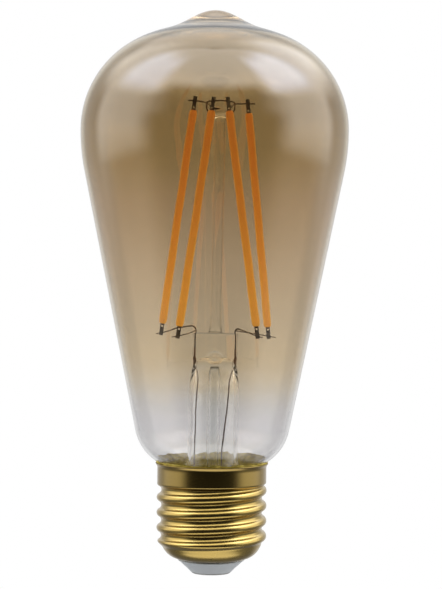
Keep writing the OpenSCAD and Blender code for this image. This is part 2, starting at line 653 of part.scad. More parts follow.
glass_envelope();
stem_flare();
exhaust_tube();
stem_rod();
seal_wire(-1);  // seal_wire_left
seal_wire(1);  // seal_wire_right
nickel(inner_left_route);  // inner_lead_left
nickel(inner_right_route);  // inner_lead_right
nickel(arm_left_route);  // cross_arm_left
nickel(arm_right_route);  // cross_arm_right
copper(outer_left_route);  // outer_lead_left
copper(outer_right_route);  // outer_lead_right
nickel(top_rear_route);  // top_wire_rear
nickel(top_front_route);  // top_wire_front
for (i = [0:3]) {
    filament_phosphor(i);
    filament_substrate(i);
    filament_led_chips(i);
    filament_end_tabs(i);
}
cap_shell();
cap_cement();
cap_insulator();
centre_contact();
driver_board();
bridge_rectifier();
driver_chip();
smoothing_capacitor();
capacitor_bung();
inductor_core();
inductor_winding();
film_capacitor();
fusible_resistor();
radio_module();
radio_shield();
chip_antenna();
small_parts();
solder_joints();
live_wire();
neutral_wire();
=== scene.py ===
"""Looks for the filament bulb: smooth glass, drawn wires, phosphor strips and a rolled brass cap."""
import math

import bmesh
import bpy
import numpy as np
from mathutils import Matrix


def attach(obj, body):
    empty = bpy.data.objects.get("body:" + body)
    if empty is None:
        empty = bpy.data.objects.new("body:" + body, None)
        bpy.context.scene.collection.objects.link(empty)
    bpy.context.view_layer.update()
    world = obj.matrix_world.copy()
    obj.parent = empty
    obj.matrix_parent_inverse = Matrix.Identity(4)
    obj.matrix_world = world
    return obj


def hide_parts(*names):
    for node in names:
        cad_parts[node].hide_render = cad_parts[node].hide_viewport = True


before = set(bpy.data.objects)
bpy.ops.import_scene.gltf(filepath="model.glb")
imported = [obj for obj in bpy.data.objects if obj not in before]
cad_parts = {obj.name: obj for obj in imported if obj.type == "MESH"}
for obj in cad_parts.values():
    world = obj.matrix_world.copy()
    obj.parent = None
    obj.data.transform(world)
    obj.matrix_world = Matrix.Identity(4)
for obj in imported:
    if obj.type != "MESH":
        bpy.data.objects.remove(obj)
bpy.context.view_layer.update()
MM = 0.001
rng = np.random.default_rng(7)


# ---- mesh helpers (everything below is worked out in millimetres) ------------------------

def add_mesh(name, verts, faces, smooth=True):
    me = bpy.data.meshes.new(name)
    me.from_pydata([tuple(float(c) * MM for c in v) for v in verts], [], [tuple(f) for f in faces])
    me.validate()
    me.update()
    ob = bpy.data.objects.new(name, me)
    bpy.context.scene.collection.objects.link(ob)
    if smooth:
        me.polygons.foreach_set("use_smooth", [True] * len(me.polygons))
    return ob


def lathe(loops, n=192, place=None, wobble=None):
    """Turns closed or axis-to-axis outlines round Z. Each loop is a list of (r, z), outer face first."""
    verts, faces = [], []
    for pts, closed in loops:
        rows = []
        for r, z in pts:
            if r < 1e-6:
                rows.append([len(verts)])
                verts.append((0, 0, z))
            else:
                row = []
                for k in range(n):
                    a = 2 * math.pi * k / n
                    rr, zz = (r, z) if wobble is None else wobble(r, z, a)
                    row.append(len(verts))
                    verts.append((rr * math.cos(a), rr * math.sin(a), zz))
                rows.append(row)
        pairs = list(zip(rows, rows[1:] + rows[:1])) if closed else list(zip(rows, rows[1:]))
        for a, b in pairs:
            if len(a) == 1 and len(b) == 1:
                continue
            for k in range(n):
                j = (k + 1) % n
                if len(a) == 1:
                    faces.append((a[0], b[j], b[k]))
                elif len(b) == 1:
                    faces.append((a[k], a[j], b[0]))
                else:
                    faces.append((a[k], a[j], b[j], b[k]))
    verts = np.array(verts, float)
    if place is not None:
        verts = place(verts)
    return verts, faces


def arc(c, r, a0, a1, n):
    """n + 1 points (r, z) on a circle, from a0 to a1 degrees."""
    return [(c[0] + r * math.cos(math.radians(a0 + (a1 - a0) * i / n)),
             c[1] + r * math.sin(math.radians(a0 + (a1 - a0) * i / n))) for i in range(n + 1)]


def bezier(p0, p1, p2, p3, n):
    """n points of a cubic curve, without its first end."""
    p0, p1, p2, p3 = (np.array(p, float) for p in (p0, p1, p2, p3))
    out = []
    for i in range(1, n + 1):
        t = i / n
        s = 1 - t
        out.append(tuple(s ** 3 * p0 + 3 * s * s * t * p1 + 3 * s * t * t * p2 + t ** 3 * p3))
    return out


def rounded(points, bend, steps=7):
    """The route with each corner rounded by a quadratic curve."""
    p = [np.array(q, float) for q in points]
    out = [p[0]]
    for i in range(1, len(p) - 1):
        back, fore = p[i - 1] - p[i], p[i + 1] - p[i]
        lb, lf = np.linalg.norm(back), np.linalg.norm(fore)
        a = p[i] + back / lb * min(bend, lb * 0.48)
        b = p[i] + fore / lf * min(bend, lf * 0.48)
        for k in range(steps + 1):
            t = k / steps
            out.append((1 - t) ** 2 * a + 2 * t * (1 - t) * p[i] + t * t * b)
    out.append(p[-1])
    return out


# How a wire's end rounds off: how far out and how wide, in radii.
END_STEPS = ((0.2, 0.85), (0.30, 0.45))


def sweep(path, radius, sides=14):
    """A round wire along the path. radius is a number or one per point."""
    p = np.array(path, float)
    keep = [0]
    for i in range(1, len(p)):
        if np.linalg.norm(p[i] - p[keep[-1]]) > 1e-4:
            keep.append(i)
    p = p[keep]
    radii = np.full(len(p), radius, float) if np.isscalar(radius) else np.array(radius, float)[keep]
    d0 = (p[0] - p[1]) / np.linalg.norm(p[0] - p[1])
    d1 = (p[-1] - p[-2]) / np.linalg.norm(p[-1] - p[-2])
    r0, r1 = radii[0], radii[-1]
    p = np.vstack([*(p[0] + d0 * r0 * far for far, _ in END_STEPS[::-1]), p,
                   *(p[-1] + d1 * r1 * far for far, _ in END_STEPS)])
    radii = np.concatenate([[r0 * wide for _, wide in END_STEPS[::-1]], radii,
                            [r1 * wide for _, wide in END_STEPS]])
    n = len(p)
    d = np.array([p[min(i + 1, n - 1)] - p[max(i - 1, 0)] for i in range(n)])
    d /= np.linalg.norm(d, axis=1)[:, None]
    s = np.cross(d[0], [0, 0, 1] if abs(d[0][2]) < 0.9 else [1, 0, 0])
    s /= np.linalg.norm(s)
    verts = []
    for i in range(n):
        s = s - (s @ d[i]) * d[i]
        s /= np.linalg.norm(s)
        u = np.cross(d[i], s)
        for k in range(sides):
            a = 2 * math.pi * k / sides
            verts.append(p[i] + radii[i] * (math.cos(a) * s + math.sin(a) * u))
    faces = []
    for i in range(n - 1):
        for k in range(sides):
            j = (k + 1) % sides
            faces.append((i * sides + k, i * sides + j, (i + 1) * sides + j, (i + 1) * sides + k))
    faces.append(tuple(range(sides - 1, -1, -1)))
    faces.append(tuple((n - 1) * sides + k for k in range(sides)))
    return np.array(verts), faces


def loft(sections, cap_low=True, cap_high=True):
    """Skins a stack of closed outlines that have the same number of points."""
    n = len(sections[0])
    verts = np.vstack(sections)
    faces = []
    for i in range(len(sections) - 1):
        for k in range(n):
            j = (k + 1) % n
            faces.append((i * n + k, i * n + j, (i + 1) * n + j, (i + 1) * n + k))
    if cap_low:
        faces.append(tuple(range(n - 1, -1, -1)))
    if cap_high:
        faces.append(tuple((len(sections) - 1) * n + k for k in range(n)))
    return verts, faces


# ---- the bulb's measures, as in the CAD part -----------------------------------------------

SEAL_Z = 17.8                   # where the stem's foot meets the neck
LEAN = math.radians(0.85)       # of the stem inside the glass
BULB_R, WIDE_Z = 32.05, 105.7   # the widest place and its height
SHOULDER_R, DOME_R, BOWL_R, FILLET = 24.0, 64.0, 11.7, 1.2          # radii of the outline's arcs
TAPER, TAPER_R0 = 11.57, 11.44  # the straight side's slope in degrees, and its radius at height 0
BOWL_Z, NECK_R, GLASS_T = 34.1, 11.4, 0.8
TIP_Z, TIP_W = 134.5, 7.9


def lean(v):
    """Places points of the stem, which leans a little about its seal."""
    v = np.array(v, float)
    one = v.ndim == 1
    v = np.atleast_2d(v).copy()
    x, z = v[:, 0].copy(), v[:, 2] - SEAL_Z
    v[:, 0] = x * math.cos(LEAN) + z * math.sin(LEAN)
    v[:, 2] = -x * math.sin(LEAN) + z * math.cos(LEAN) + SEAL_Z
    return v[0] if one else v


# Centres of the outline's arcs, as (r, z).
ta = math.radians(TAPER)
shoulder_c = (BULB_R - SHOULDER_R, WIDE_Z)
BELLY_R = (WIDE_Z * math.tan(ta) + TAPER_R0 - BULB_R) / (math.sin(ta) * math.tan(ta) + math.cos(ta) - 1)
belly_c = (BULB_R - BELLY_R, WIDE_Z)
touch = (TAPER_R0 + BOWL_Z * math.tan(ta), BOWL_Z)
bowl_c = (touch[0] - BOWL_R * math.cos(ta), touch[1] + BOWL_R * math.sin(ta))
fdx = NECK_R + FILLET - bowl_c[0]
fdz = math.sqrt((BOWL_R + FILLET) ** 2 - fdx ** 2)
fillet_c = (NECK_R + FILLET, bowl_c[1] - fdz)
FILLET_A = math.degrees(math.atan2(fdz, -fdx))
DOME_A = math.degrees(math.acos(shoulder_c[0] / (DOME_R - SHOULDER_R)))
DOME_Z0 = WIDE_Z - (DOME_R - SHOULDER_R) * math.sin(math.radians(DOME_A))
DOME_TOP = DOME_Z0 + DOME_R


def wall_outline(t):
    """The glass's outline from the neck to the top, t inside its outer face."""
    low = (touch[0] - t * math.cos(ta), touch[1] + t * math.sin(ta))
    high = (belly_c[0] + (BELLY_R - t) * math.cos(ta), belly_c[1] - (BELLY_R - t) * math.sin(ta))
    out = [(NECK_R - t, SEAL_Z), (NECK_R - t, SEAL_Z + 3)]
    out += arc(fillet_c, FILLET + t, 180, FILLET_A, 16)
    out += arc(bowl_c, BOWL_R - t, FILLET_A - 180, -TAPER, 32)[1:]
    for k in range(1, 12):
        out.append((low[0] + (high[0] - low[0]) * k / 12, low[1] + (high[1] - low[1]) * k / 12))
    out += arc(belly_c, BELLY_R - t, -TAPER, 0, 20)
    out += arc(shoulder_c, SHOULDER_R - t, 0, DOME_A, 48)[1:]
    for k in range(1, 61):
        a = math.radians(DOME_A + (90 - DOME_A) * (k / 60) ** 0.85)
        out.append((max(0.0, (DOME_R - t) * math.cos(a)), DOME_Z0 + (DOME_R - t) * math.sin(a)))
    return out


def glass_profile():
    """The outer face with its solid tip, and the smooth inner face."""
    def rise(r, z):
        return z + (TIP_Z - DOME_TOP) * math.exp(-(r / TIP_W) ** 2.2) if z > WIDE_Z else z
    outer = [(r if r > 1e-5 else 0.0, rise(r, z)) for r, z in wall_outline(0)]
    inner = [(r if r > 1e-5 else 0.0, z) for r, z in wall_outline(GLASS_T)]
    return outer, inner


# ---- materials -------------------------------------------------------------------------------

class Mat:
    """A small wrapper that keeps node building short."""

    def __init__(self, name):
        self.m = bpy.data.materials.new(name)
        self.m.use_nodes = True
        self.t = self.m.node_tree
        self.b = next(n for n in self.t.nodes if n.type == "BSDF_PRINCIPLED")
        self.pos = None

    def node(self, kind, **inputs):
        n = self.t.nodes.new(kind)
        for k, v in inputs.items():
            if k in n.inputs:
                n.inputs[k].default_value = v
            else:
                setattr(n, k, v)
        return n

    def link(self, a, b):
        self.t.links.new(a, b)

    def set(self, **kw):
        for k, v in kw.items():
            self.b.inputs[k.replace("_", " ")].default_value = v

    def place(self):
        if self.pos is None:
            self.pos = self.node("ShaderNodeTexCoord").outputs["Object"]
        return self.pos

    def noise(self, scale, detail=3.0, rough=0.5, stretch=None):
        n = self.node("ShaderNodeTexNoise", Scale=scale, Detail=detail, Roughness=rough)
        src = self.place()
        if stretch:
            mp = self.node("ShaderNodeMapping")
            mp.inputs["Scale"].default_value = stretch
            self.link(src, mp.inputs["Vector"])
            src = mp.outputs["Vector"]
        self.link(src, n.inputs["Vector"])
        return n.outputs["Fac"]

    def ramp(self, fac, stops):
        """A colour by fac, from stops of (place, (r, g, b))."""
        r = self.node("ShaderNodeValToRGB")
        e = r.color_ramp.elements
        while len(e) < len(stops):
            e.new(0.5)
        for i, (p, c) in enumerate(stops):
            e[i].position = p
            e[i].color = (*c, 1)
        self.link(fac, r.inputs["Fac"])
        return r.outputs["Color"]

    def between(self, fac, lo, hi):
        r = self.node("ShaderNodeMapRange")
        r.inputs["To Min"].default_value = lo
        r.inputs["To Max"].default_value = hi
        self.link(fac, r.inputs["Value"])
        return r.outputs["Result"]

    def height(self, z0, z1):
        """0 at height z0 to 1 at z1, in millimetres."""
        s = self.node("ShaderNodeSeparateXYZ")
        self.link(self.place(), s.inputs[0])
        r = self.node("ShaderNodeMapRange")
        r.inputs["From Min"].default_value = z0 * MM
        r.inputs["From Max"].default_value = z1 * MM
        self.link(s.outputs["Z"], r.inputs["Value"])
        return r.outputs["Result"]

    def bump(self, fac, strength, dist):
        n = self.node("ShaderNodeBump", Strength=strength, Distance=dist)
        self.link(fac, n.inputs["Height"])
        self.link(n.outputs["Normal"], self.b.inputs["Normal"])

    def into(self, socket, name):
        self.link(socket, self.b.inputs[name])


def speckled(name, dark, light, scale, rough=(0.4, 0.6), metal=0.0):
    """A plain material that varies a little between two shades and two roughnesses."""
    m = Mat(name)
    n = m.noise(scale)
    m.into(m.ramp(n, [(0.3, dark), (0.7, light)]), "Base Color")
    m.into(m.between(n, *rough), "Roughness")
    m.set(Metallic=metal)
    m.bump(n, 0.05, 0.00005)
    return m.m


# The amber coat: its colour by height, dense at the top and gone at the bowl.
COAT = [(30, (0.885, 0.88, 0.883)), (36, (0.885, 0.87, 0.876)), (41, (0.858, 0.837, 0.817)),
        (46, (0.865, 0.798, 0.694)), (51, (0.843, 0.750, 0.600)), (60, (0.797, 0.705, 0.565)),
        (75, (0.745, 0.635, 0.49)), (89, (0.67, 0.545, 0.39)), (99, (0.59, 0.47, 0.285)),
        (113, (0.57, 0.45, 0.27)), (124, (0.62, 0.52, 0.36)), (129, (0.61, 0.51, 0.36)),
        (131.5, (0.56, 0.385, 0.195))]
COAT_LOW, COAT_HIGH, STREAK = 20.0, 140.0, 0.07      # the ramp's range, and how far streaks shift it
# Its metallic lustre is a higher index, which falls to the bare glass's in steps too fine to see.
COAT_IOR, BARE_IOR, LUSTRE_STEPS, LUSTRE_TOP, LUSTRE_STEP = 1.75, 1.50, 10, 53.0, 1.8


def amber_glass(name, ior):
    """Clear glass with an amber coat on its outer face, dense at the top and fading out towards the neck."""
    m = Mat(name)
    m.set(Transmission_Weight=1.0, Roughness=0.0, IOR=ior)
    h = m.height(COAT_LOW, COAT_HIGH)
    streaks = m.noise(55.0, 3.0, 0.55, (1, 1, 0.25))
    add = m.node("ShaderNodeMath", operation="MULTIPLY_ADD")
    add.inputs[1].default_value = STREAK
    m.link(streaks, add.inputs[0])
    m.link(h, add.inputs[2])
    fade = [((z - COAT_LOW) / (COAT_HIGH - COAT_LOW) + STREAK / 2, c) for z, c in COAT]
    m.into(m.ramp(add.outputs[0], fade), "Base Color")
    return m.m


def clear_glass():
    """The stem's glass, drawn by hand and so faintly uneven."""
    m = Mat("clear_glass")
    m.set(Transmission_Weight=1.0, Roughness=0.0, IOR=1.45)
    n = m.noise(60.0, 1.0)
    tint = (0.975, 0.98, 0.975)
    m.into(m.ramp(n, [(0.3, tint), (0.7, tuple(c * 1.02 for c in tint))]), "Base Color")
    m.bump(m.noise(90.0, 1.0, 0.4, (1, 1, 0.3)), 0.04, 0.0003)
    return m.m


def phosphor():
    """Silicone full of orange phosphor, thinner and so yellower along its edges."""
    m = Mat("phosphor")
    n = m.noise(900.0, 4.0, 0.6)
    across = m.node("ShaderNodeAttribute", attribute_name="across").outputs["Fac"]
    add = m.node("ShaderNodeMath", operation="MULTIPLY_ADD")
    add.inputs[1].default_value = 0.25
    m.link(n, add.inputs[0])
    m.link(across, add.inputs[2])
    m.into(m.ramp(add.outputs[0], [(0.45, (0.95, 0.37, 0.045)), (0.85, (0.95, 0.44, 0.06)),
                                   (1.0, (0.93, 0.58, 0.13))]), "Base Color")
    m.into(m.between(n, 0.40, 0.60), "Roughness")
    # Painted glow: the unlit strip gets a little light of its own, stronger where the coat in front of it is
    # thinner, to make up for the daylight the glass holds back.
    painted_glow = m.ramp(m.height(57.0, 114.0), [(0.0, (0.86, 0.42, 0.075)), (0.14, (0.97, 0.475, 0.083)),
                                          (0.5, (0.78, 0.33, 0.055)), (1.0, (0.68, 0.235, 0.055))])
    m.into(painted_glow, "Emission Color")
    m.set(Subsurface_Weight=0.25, Subsurface_Scale=0.0006, Emission_Strength=0.58)
    m.b.inputs["Subsurface Radius"].default_value = (1.0, 0.5, 0.1)
    m.bump(n, 0.2, 0.00004)
    return m.m


def brass():
    """Lacquered brass. The collar is painted darker than the thread: painted shade for the darker room its
    straight sides reflect.
    """
    m = Mat("cap_brass")
    n = m.noise(55.0, 4.0, 0.55)
    fine = m.noise(900.0, 2.0, 0.5, (1, 1, 0.2))
    tone = m.node("ShaderNodeMath", operation="MULTIPLY_ADD")
    tone.inputs[1].default_value = 0.25
    m.link(n, tone.inputs[0])
    # painted shade: from 20.5 mm up, the collar takes the ramp's darker brass
    m.link(m.height(20.5, 21.8), tone.inputs[2])
    m.into(m.ramp(tone.outputs[0], [(0.05, (0.43, 0.295, 0.068)), (0.2, (0.47, 0.332, 0.084)),
                                    (1.05, (0.345, 0.235, 0.057))]), "Base Color")
    m.into(m.between(n, 0.20, 0.32), "Roughness")
    m.set(Metallic=0.97, Coat_Weight=0.5, Coat_Roughness=0.16)
    m.bump(fine, 0.05, 0.00003)
    return m.m


def cement():
    """Mottled gold-olive cement. A little of its own light makes up for what the glass holds back."""
    m = Mat("cement")
    n = m.noise(620.0, 4.0, 0.6)
    tone = m.ramp(n, [(0.32, (0.33, 0.23, 0.025)), (0.5, (0.62, 0.48, 0.07)), (0.7, (0.92, 0.74, 0.15))])
    m.into(tone, "Base Color")
    m.into(tone, "Emission Color")
    m.into(m.between(n, 0.45, 0.7), "Roughness")
    m.set(Emission_Strength=0.11)
    m.bump(n, 0.8, 0.0002)
    return m.m


def enamelled():
    """Copper wire in many turns, whose ridges are drawn by bands: the bands bump each turn and paint shade
    in the grooves between turns.
    """
    m = Mat("enamelled_copper")
    w = m.node("ShaderNodeTexWave", wave_type="BANDS", bands_direction="Z", Scale=1300.0, Distortion=0.6)
    m.link(m.place(), w.inputs["Vector"])
    # painted shade: dark in the grooves between turns, lighter on each turn's top
    m.into(m.ramp(w.outputs["Fac"], [(0.2, (0.22, 0.07, 0.02)), (0.8, (0.55, 0.24, 0.08))]), "Base Color")
    m.set(Metallic=0.6, Roughness=0.3)
    m.bump(w.outputs["Fac"], 0.5, 0.0001)
    return m.m


nickel_wire = speckled("nickel_wire", (0.26, 0.22, 0.18), (0.44, 0.385, 0.33), 700.0, (0.4, 0.6), 0.6)
copper_wire = speckled("copper_wire", (0.22, 0.16, 0.12), (0.36, 0.27, 0.21), 700.0, (0.4, 0.6), 0.6)
seal_copper = speckled("seal_copper", (0.34, 0.19, 0.12), (0.52, 0.31, 0.21), 500.0, (0.45, 0.7), 0.3)
tab_steel = speckled("tab_steel", (0.20, 0.18, 0.155), (0.38, 0.35, 0.31), 400.0, (0.35, 0.55), 0.7)
substrate = speckled("filament_substrate", (0.72, 0.70, 0.64), (0.82, 0.80, 0.74), 500.0)
led_chip = speckled("led_chip", (0.22, 0.34, 0.55), (0.34, 0.46, 0.66), 900.0, (0.1, 0.2), 0.0)
cement_mat = cement()
insulator_mat = speckled("insulator", (0.80, 0.84, 0.87), (0.86, 0.90, 0.93), 120.0, (0.35, 0.45))
contact_mat = speckled("contact", (0.45, 0.45, 0.44), (0.62, 0.62, 0.60), 250.0, (0.25, 0.4), 1.0)
board_mat = speckled("board", (0.01, 0.10, 0.04), (0.02, 0.16, 0.07), 300.0, (0.3, 0.45))
black_mould = speckled("black_moulding", (0.015, 0.015, 0.016), (0.03, 0.03, 0.032), 500.0, (0.5, 0.7))
sleeve = speckled("capacitor_sleeve", (0.012, 0.014, 0.02), (0.03, 0.032, 0.045), 200.0, (0.2, 0.3))
bung = speckled("rubber_bung", (0.02, 0.02, 0.02), (0.04, 0.04, 0.04), 400.0, (0.7, 0.9))
ferrite = speckled("ferrite", (0.03, 0.03, 0.032), (0.07, 0.07, 0.075), 700.0, (0.5, 0.7))
film_coat = speckled("film_coating", (0.45, 0.28, 0.03), (0.58, 0.38, 0.05), 200.0, (0.15, 0.3))
resistor = speckled("resistor_body", (0.07, 0.12, 0.18), (0.12, 0.18, 0.25), 300.0, (0.3, 0.5))
radio_board = speckled("radio_board", (0.005, 0.02, 0.10), (0.01, 0.035, 0.15), 300.0, (0.3, 0.45))
shield = speckled("shield_tin", (0.45, 0.45, 0.44), (0.60, 0.60, 0.58), 300.0, (0.25, 0.4), 1.0)
antenna = speckled("antenna_ceramic", (0.70, 0.70, 0.66), (0.80, 0.80, 0.76), 300.0)
chip_parts = speckled("chip_parts", (0.20, 0.14, 0.09), (0.45, 0.40, 0.34), 300.0)
solder = speckled("solder", (0.45, 0.45, 0.46), (0.65, 0.65, 0.66), 400.0, (0.15, 0.35), 1.0)
live_red = speckled("live_insulation", (0.35, 0.02, 0.015), (0.45, 0.03, 0.02), 300.0)
tinned = speckled("neutral_wire", (0.40, 0.39, 0.36), (0.58, 0.56, 0.52), 500.0, (0.3, 0.5), 1.0)
CLEAR, PHOSPHOR, BRASS = clear_glass(), phosphor(), brass()


def finish(ob, material, slot, *nodes):
    """Gives a new piece its material and its body, and hides the CAD nodes it stands for. slot is not used.
    """
    ob.data.materials.clear()
    ob.data.materials.append(material)
    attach(ob, "root")
    if nodes:
        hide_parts(*nodes)
    return ob


def dress(node, material):
    """Gives a carried-over CAD piece its material."""
    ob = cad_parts[node]
    ob.data.materials.clear()
    ob.data.materials.append(material)


# ---- glass envelope ----------------------------------------------------------------------------

outer, inner = glass_profile()
v, f = lathe([(outer + inner[::-1], False)], 224)
envelope = add_mesh("bulb_glass", v, f)
bm = bmesh.new()
bm.from_mesh(envelope.data)
bmesh.ops.bridge_loops(bm, edges=[e for e in bm.edges if e.is_boundary])   # the neck's cut end
bmesh.ops.recalc_face_normals(bm, faces=bm.faces)
for face in bm.faces:
    face.smooth = True
bm.to_mesh(envelope.data)
bm.free()
finish(envelope, amber_glass("amber_glass", COAT_IOR), "amber_glass", "glass_envelope")
for k in range(1, LUSTRE_STEPS + 1):
    ior = COAT_IOR + (BARE_IOR - COAT_IOR) * k / LUSTRE_STEPS
    envelope.data.materials.append(amber_glass(f"amber_glass_{k}", ior))
for face in envelope.data.polygons:
    step = int((LUSTRE_TOP - face.center.z / MM) / LUSTRE_STEP)
    face.material_index = min(LUSTRE_STEPS, max(0, step))

# ---- stem: flare tube, press, exhaust tube and rod ----------------------------------------------

FLARE_R, FLARE_T, FOOT_R = 6.0, 0.9, NECK_R - GLASS_T - 0.02
TUBE_TOP, PRESS_LOW, PRESS_TOP = 44.9, 50.9, 57.4            # the press is pinched flat between the last two
PRESS_W, PRESS_D, PRESS_EDGE = 5.5, 1.7, 0.7                 # half width, half depth and the top's rounding
HOLLOW_W, HOLLOW_D, HOLLOW_TOP, HOLLOW_RISE = 4.15, 0.75, 50.5, 1.15
WAIST, WAIST_Z, WAIST_H = 0.35, 49.9, 1.9                    # the pinch's shallow waist
PORT_Z, PORT_WIDER = 51.6, 1.25
BLISTER_R, BLISTER_H, PIT_R, PIT_H = 1.6, 0.95, 1.05, 1.5


def smooth(t):
    """0 to 1 with soft ends."""
    t = min(1.0, max(0.0, t))
    return t * t * (3 - 2 * t)


def flare_radius(z, t):
    """Radius of the trumpet and tube at a height, t inside its outer face."""
    pts = [(FOOT_R - t, SEAL_Z), (FOOT_R - t, SEAL_Z + 0.6)] + bezier(
        (FOOT_R - t, SEAL_Z + 0.6), (FOOT_R - t - 0.4, SEAL_Z + 3.5), (FLARE_R - t + 0.2, SEAL_Z + 4.5),
        (FLARE_R - t, SEAL_Z + 11.5), 24)
    return float(np.interp(z, [p[1] for p in pts], [p[0] for p in pts]))


def oval(a, b, z, power, n):
    """A superellipse of half sizes a and b at a height."""
    out = []
    for k in range(n):
        q = 2 * math.pi * k / n
        c, s = math.cos(q), math.sin(q)
        e = 2 / power
        out.append((a * math.copysign(abs(c) ** e, c), b * math.copysign(abs(s) ** e, s), z))
    return np.array(out)


def stem_skin(n=160):
    """Outer skin with the blister round the exhaust port, and the hollow's skin, as one glass wall."""
    rows = []
    zs = list(np.linspace(SEAL_Z, TUBE_TOP - 3, 60))
    zs += list(np.linspace(TUBE_TOP - 2.8, PRESS_TOP - PRESS_EDGE, 96))
    for z in zs:
        u = smooth((z - (TUBE_TOP - 2.4)) / (PRESS_LOW - TUBE_TOP + 3.0))
        r = flare_radius(z, 0)
        waist = WAIST * math.exp(-((z - WAIST_Z) / WAIST_H) ** 2)
        rows.append(oval(r + (PRESS_W - r) * u - waist, r + (PRESS_D - r) * smooth(u), z, 2 + 1.5 * u, n))
    for k in range(1, 9):
        q = math.pi / 2 * k / 9
        in_by = PRESS_EDGE * (1 - math.cos(q))
        z = PRESS_TOP - PRESS_EDGE + PRESS_EDGE * math.sin(q)
        rows.append(oval(PRESS_W - in_by, PRESS_D - in_by, z, 3.5, n))
    for k in range(1, 5):
        left = 1 - k / 5
        w, d = (PRESS_W - PRESS_EDGE) * left, (PRESS_D - PRESS_EDGE) * left
        rows.append(oval(w, d, PRESS_TOP, 3.5 - 0.2 * k, n))
    v, f = loft(rows, False, True)
    # The port: a blister with a pit blown through its middle.
    for i in range(len(v)):
        x, y, z = v[i]
        if y < -0.3 and abs(z - PORT_Z) < 3:
            d = math.hypot(x / PORT_WIDER, z - PORT_Z)
            blister = BLISTER_H * math.sqrt(max(0.0, 1 - (d / BLISTER_R) ** 2))
            v[i][1] -= (blister - PIT_H * (1 - smooth(d / PIT_R))) * min(1.0, abs(y) / 1.2)
    hollow = []
    hz = list(np.linspace(SEAL_Z, TUBE_TOP - 3, 50)) + list(np.linspace(TUBE_TOP - 2.8, HOLLOW_TOP, 60))
    for z in hz:
        u = smooth((z - (TUBE_TOP - 2.4)) / (PRESS_LOW - TUBE_TOP + 2.2))
        r = flare_radius(z, FLARE_T)
        hollow.append(oval(r + (HOLLOW_W - r) * u, r + (HOLLOW_D - r) * smooth(u), z, 2 + 0.6 * u, n))
    for k in range(1, 12):
        q = k / 12
        hollow.append(oval(HOLLOW_W * math.sqrt(1 - q * q), HOLLOW_D * (1 - 0.8 * q),
                           HOLLOW_TOP + HOLLOW_RISE * q, 2.5, n))
    hv, hf = loft(hollow, False, True)
    nv = len(v)
    ring = [(k, nv + k, nv + (k + 1) % n, (k + 1) % n) for k in range(n)]
    return np.vstack([v, hv]), list(f) + [tuple(nv + i for i in reversed(q)) for q in hf] + ring


v, f = stem_skin()
stem = add_mesh("stem_glass", lean(v), f)
finish(stem, CLEAR, "clear_glass", "stem_flare")

# The exhaust tube: melted shut at its foot, and its wall thins out at the top, where it joins the press.
TUBE_R, TUBE_BORE = 1.6, 1.0
tube = [(0, 15.2), (0.35, 15.25), (0.7, 15.6), (1.0, 16.2), (1.3, 17.1), (1.5, 17.9), (TUBE_R, 18.7)]
tube += [(TUBE_R, z) for z in np.linspace(19.8, 45.0, 28)]
tube += [(1.55, 46.2), (1.42, 47.2), (1.22, 48.1), (1.07, 48.8), (1.02, 49.1)]
tube += [(TUBE_BORE, z) for z in np.linspace(49.0, 19.8, 30)]
tube += [(0.9, 18.9), (0.5, 18.2), (0, 17.8)]
v, f = lathe([(tube, False)], 64, lean)
finish(add_mesh("exhaust_tube_glass", v, f), CLEAR, "clear_glass", "exhaust_tube")

ROD_R, BUTTON_R, BUTTON_Z, BUTTON_H = 1.33, 2.4, 110.8, 1.15
rod = [(0, PRESS_TOP), (1.7, PRESS_TOP), (1.66, PRESS_TOP + 0.2), (1.55, PRESS_TOP + 0.55),
       (1.42, PRESS_TOP + 1.0), (ROD_R, PRESS_TOP + 1.9)]
rod += [(ROD_R, z) for z in np.linspace(61.3, 107.3, 40)]
rod += bezier((ROD_R, 108.6), (ROD_R, 109.4), (BUTTON_R, 109.65), (BUTTON_R, BUTTON_Z), 14)
rod += [(BUTTON_R * math.cos(a), BUTTON_Z + BUTTON_H * math.sin(a))
        for a in np.linspace(0.12, math.pi / 2, 12)]


def melted(r, z, a):
    """The button is a little lumpy where the wires went in."""
    w = smooth((z - 108.8) / 1.2)
    lumps = 0.05 * math.sin(2 * a + 0.6) + 0.03 * math.sin(3 * a)
    return r * (1 + w * lumps), z + w * 0.06 * math.sin(a * 2) * r


v, f = lathe([(rod, False)], 72, lean, melted)
finish(add_mesh("stem_rod_glass", v, f), CLEAR, "clear_glass", "stem_rod")

# ---- filaments --------------------------------------------------------------------------------------

# Foot and head of each, from the left.
FIL = [((-13.3, 6.5, 57.0), (-6.3, 2.8, 113.3)), ((-8.7, -9.0, 56.7), (-1.8, -4.5, 112.4)),
       ((9.8, -9.0, 57.1), (1.7, -4.5, 112.4)), ((13.0, 6.5, 56.7), (6.5, 2.8, 112.8))]
STRIP_W, STRIP_D, BARE_FOOT, BARE_HEAD = 0.95, 0.70, 2.3, 2.4     # half sizes, and the tabs left bare
WELD_Y = 0.1 + 0.2 + 0.04                                         # from a tab's middle to its wire's


def fil_frame(i):
    """A filament's foot, its three directions (across, through and along) and its length."""
    foot, head = (np.array(p) for p in FIL[i])
    z = (head - foot) / np.linalg.norm(head - foot)
    x = np.cross((0, 1, 0), z)
    x /= np.linalg.norm(x)
    return foot, x, np.cross(z, x), z, float(np.linalg.norm(head - foot))


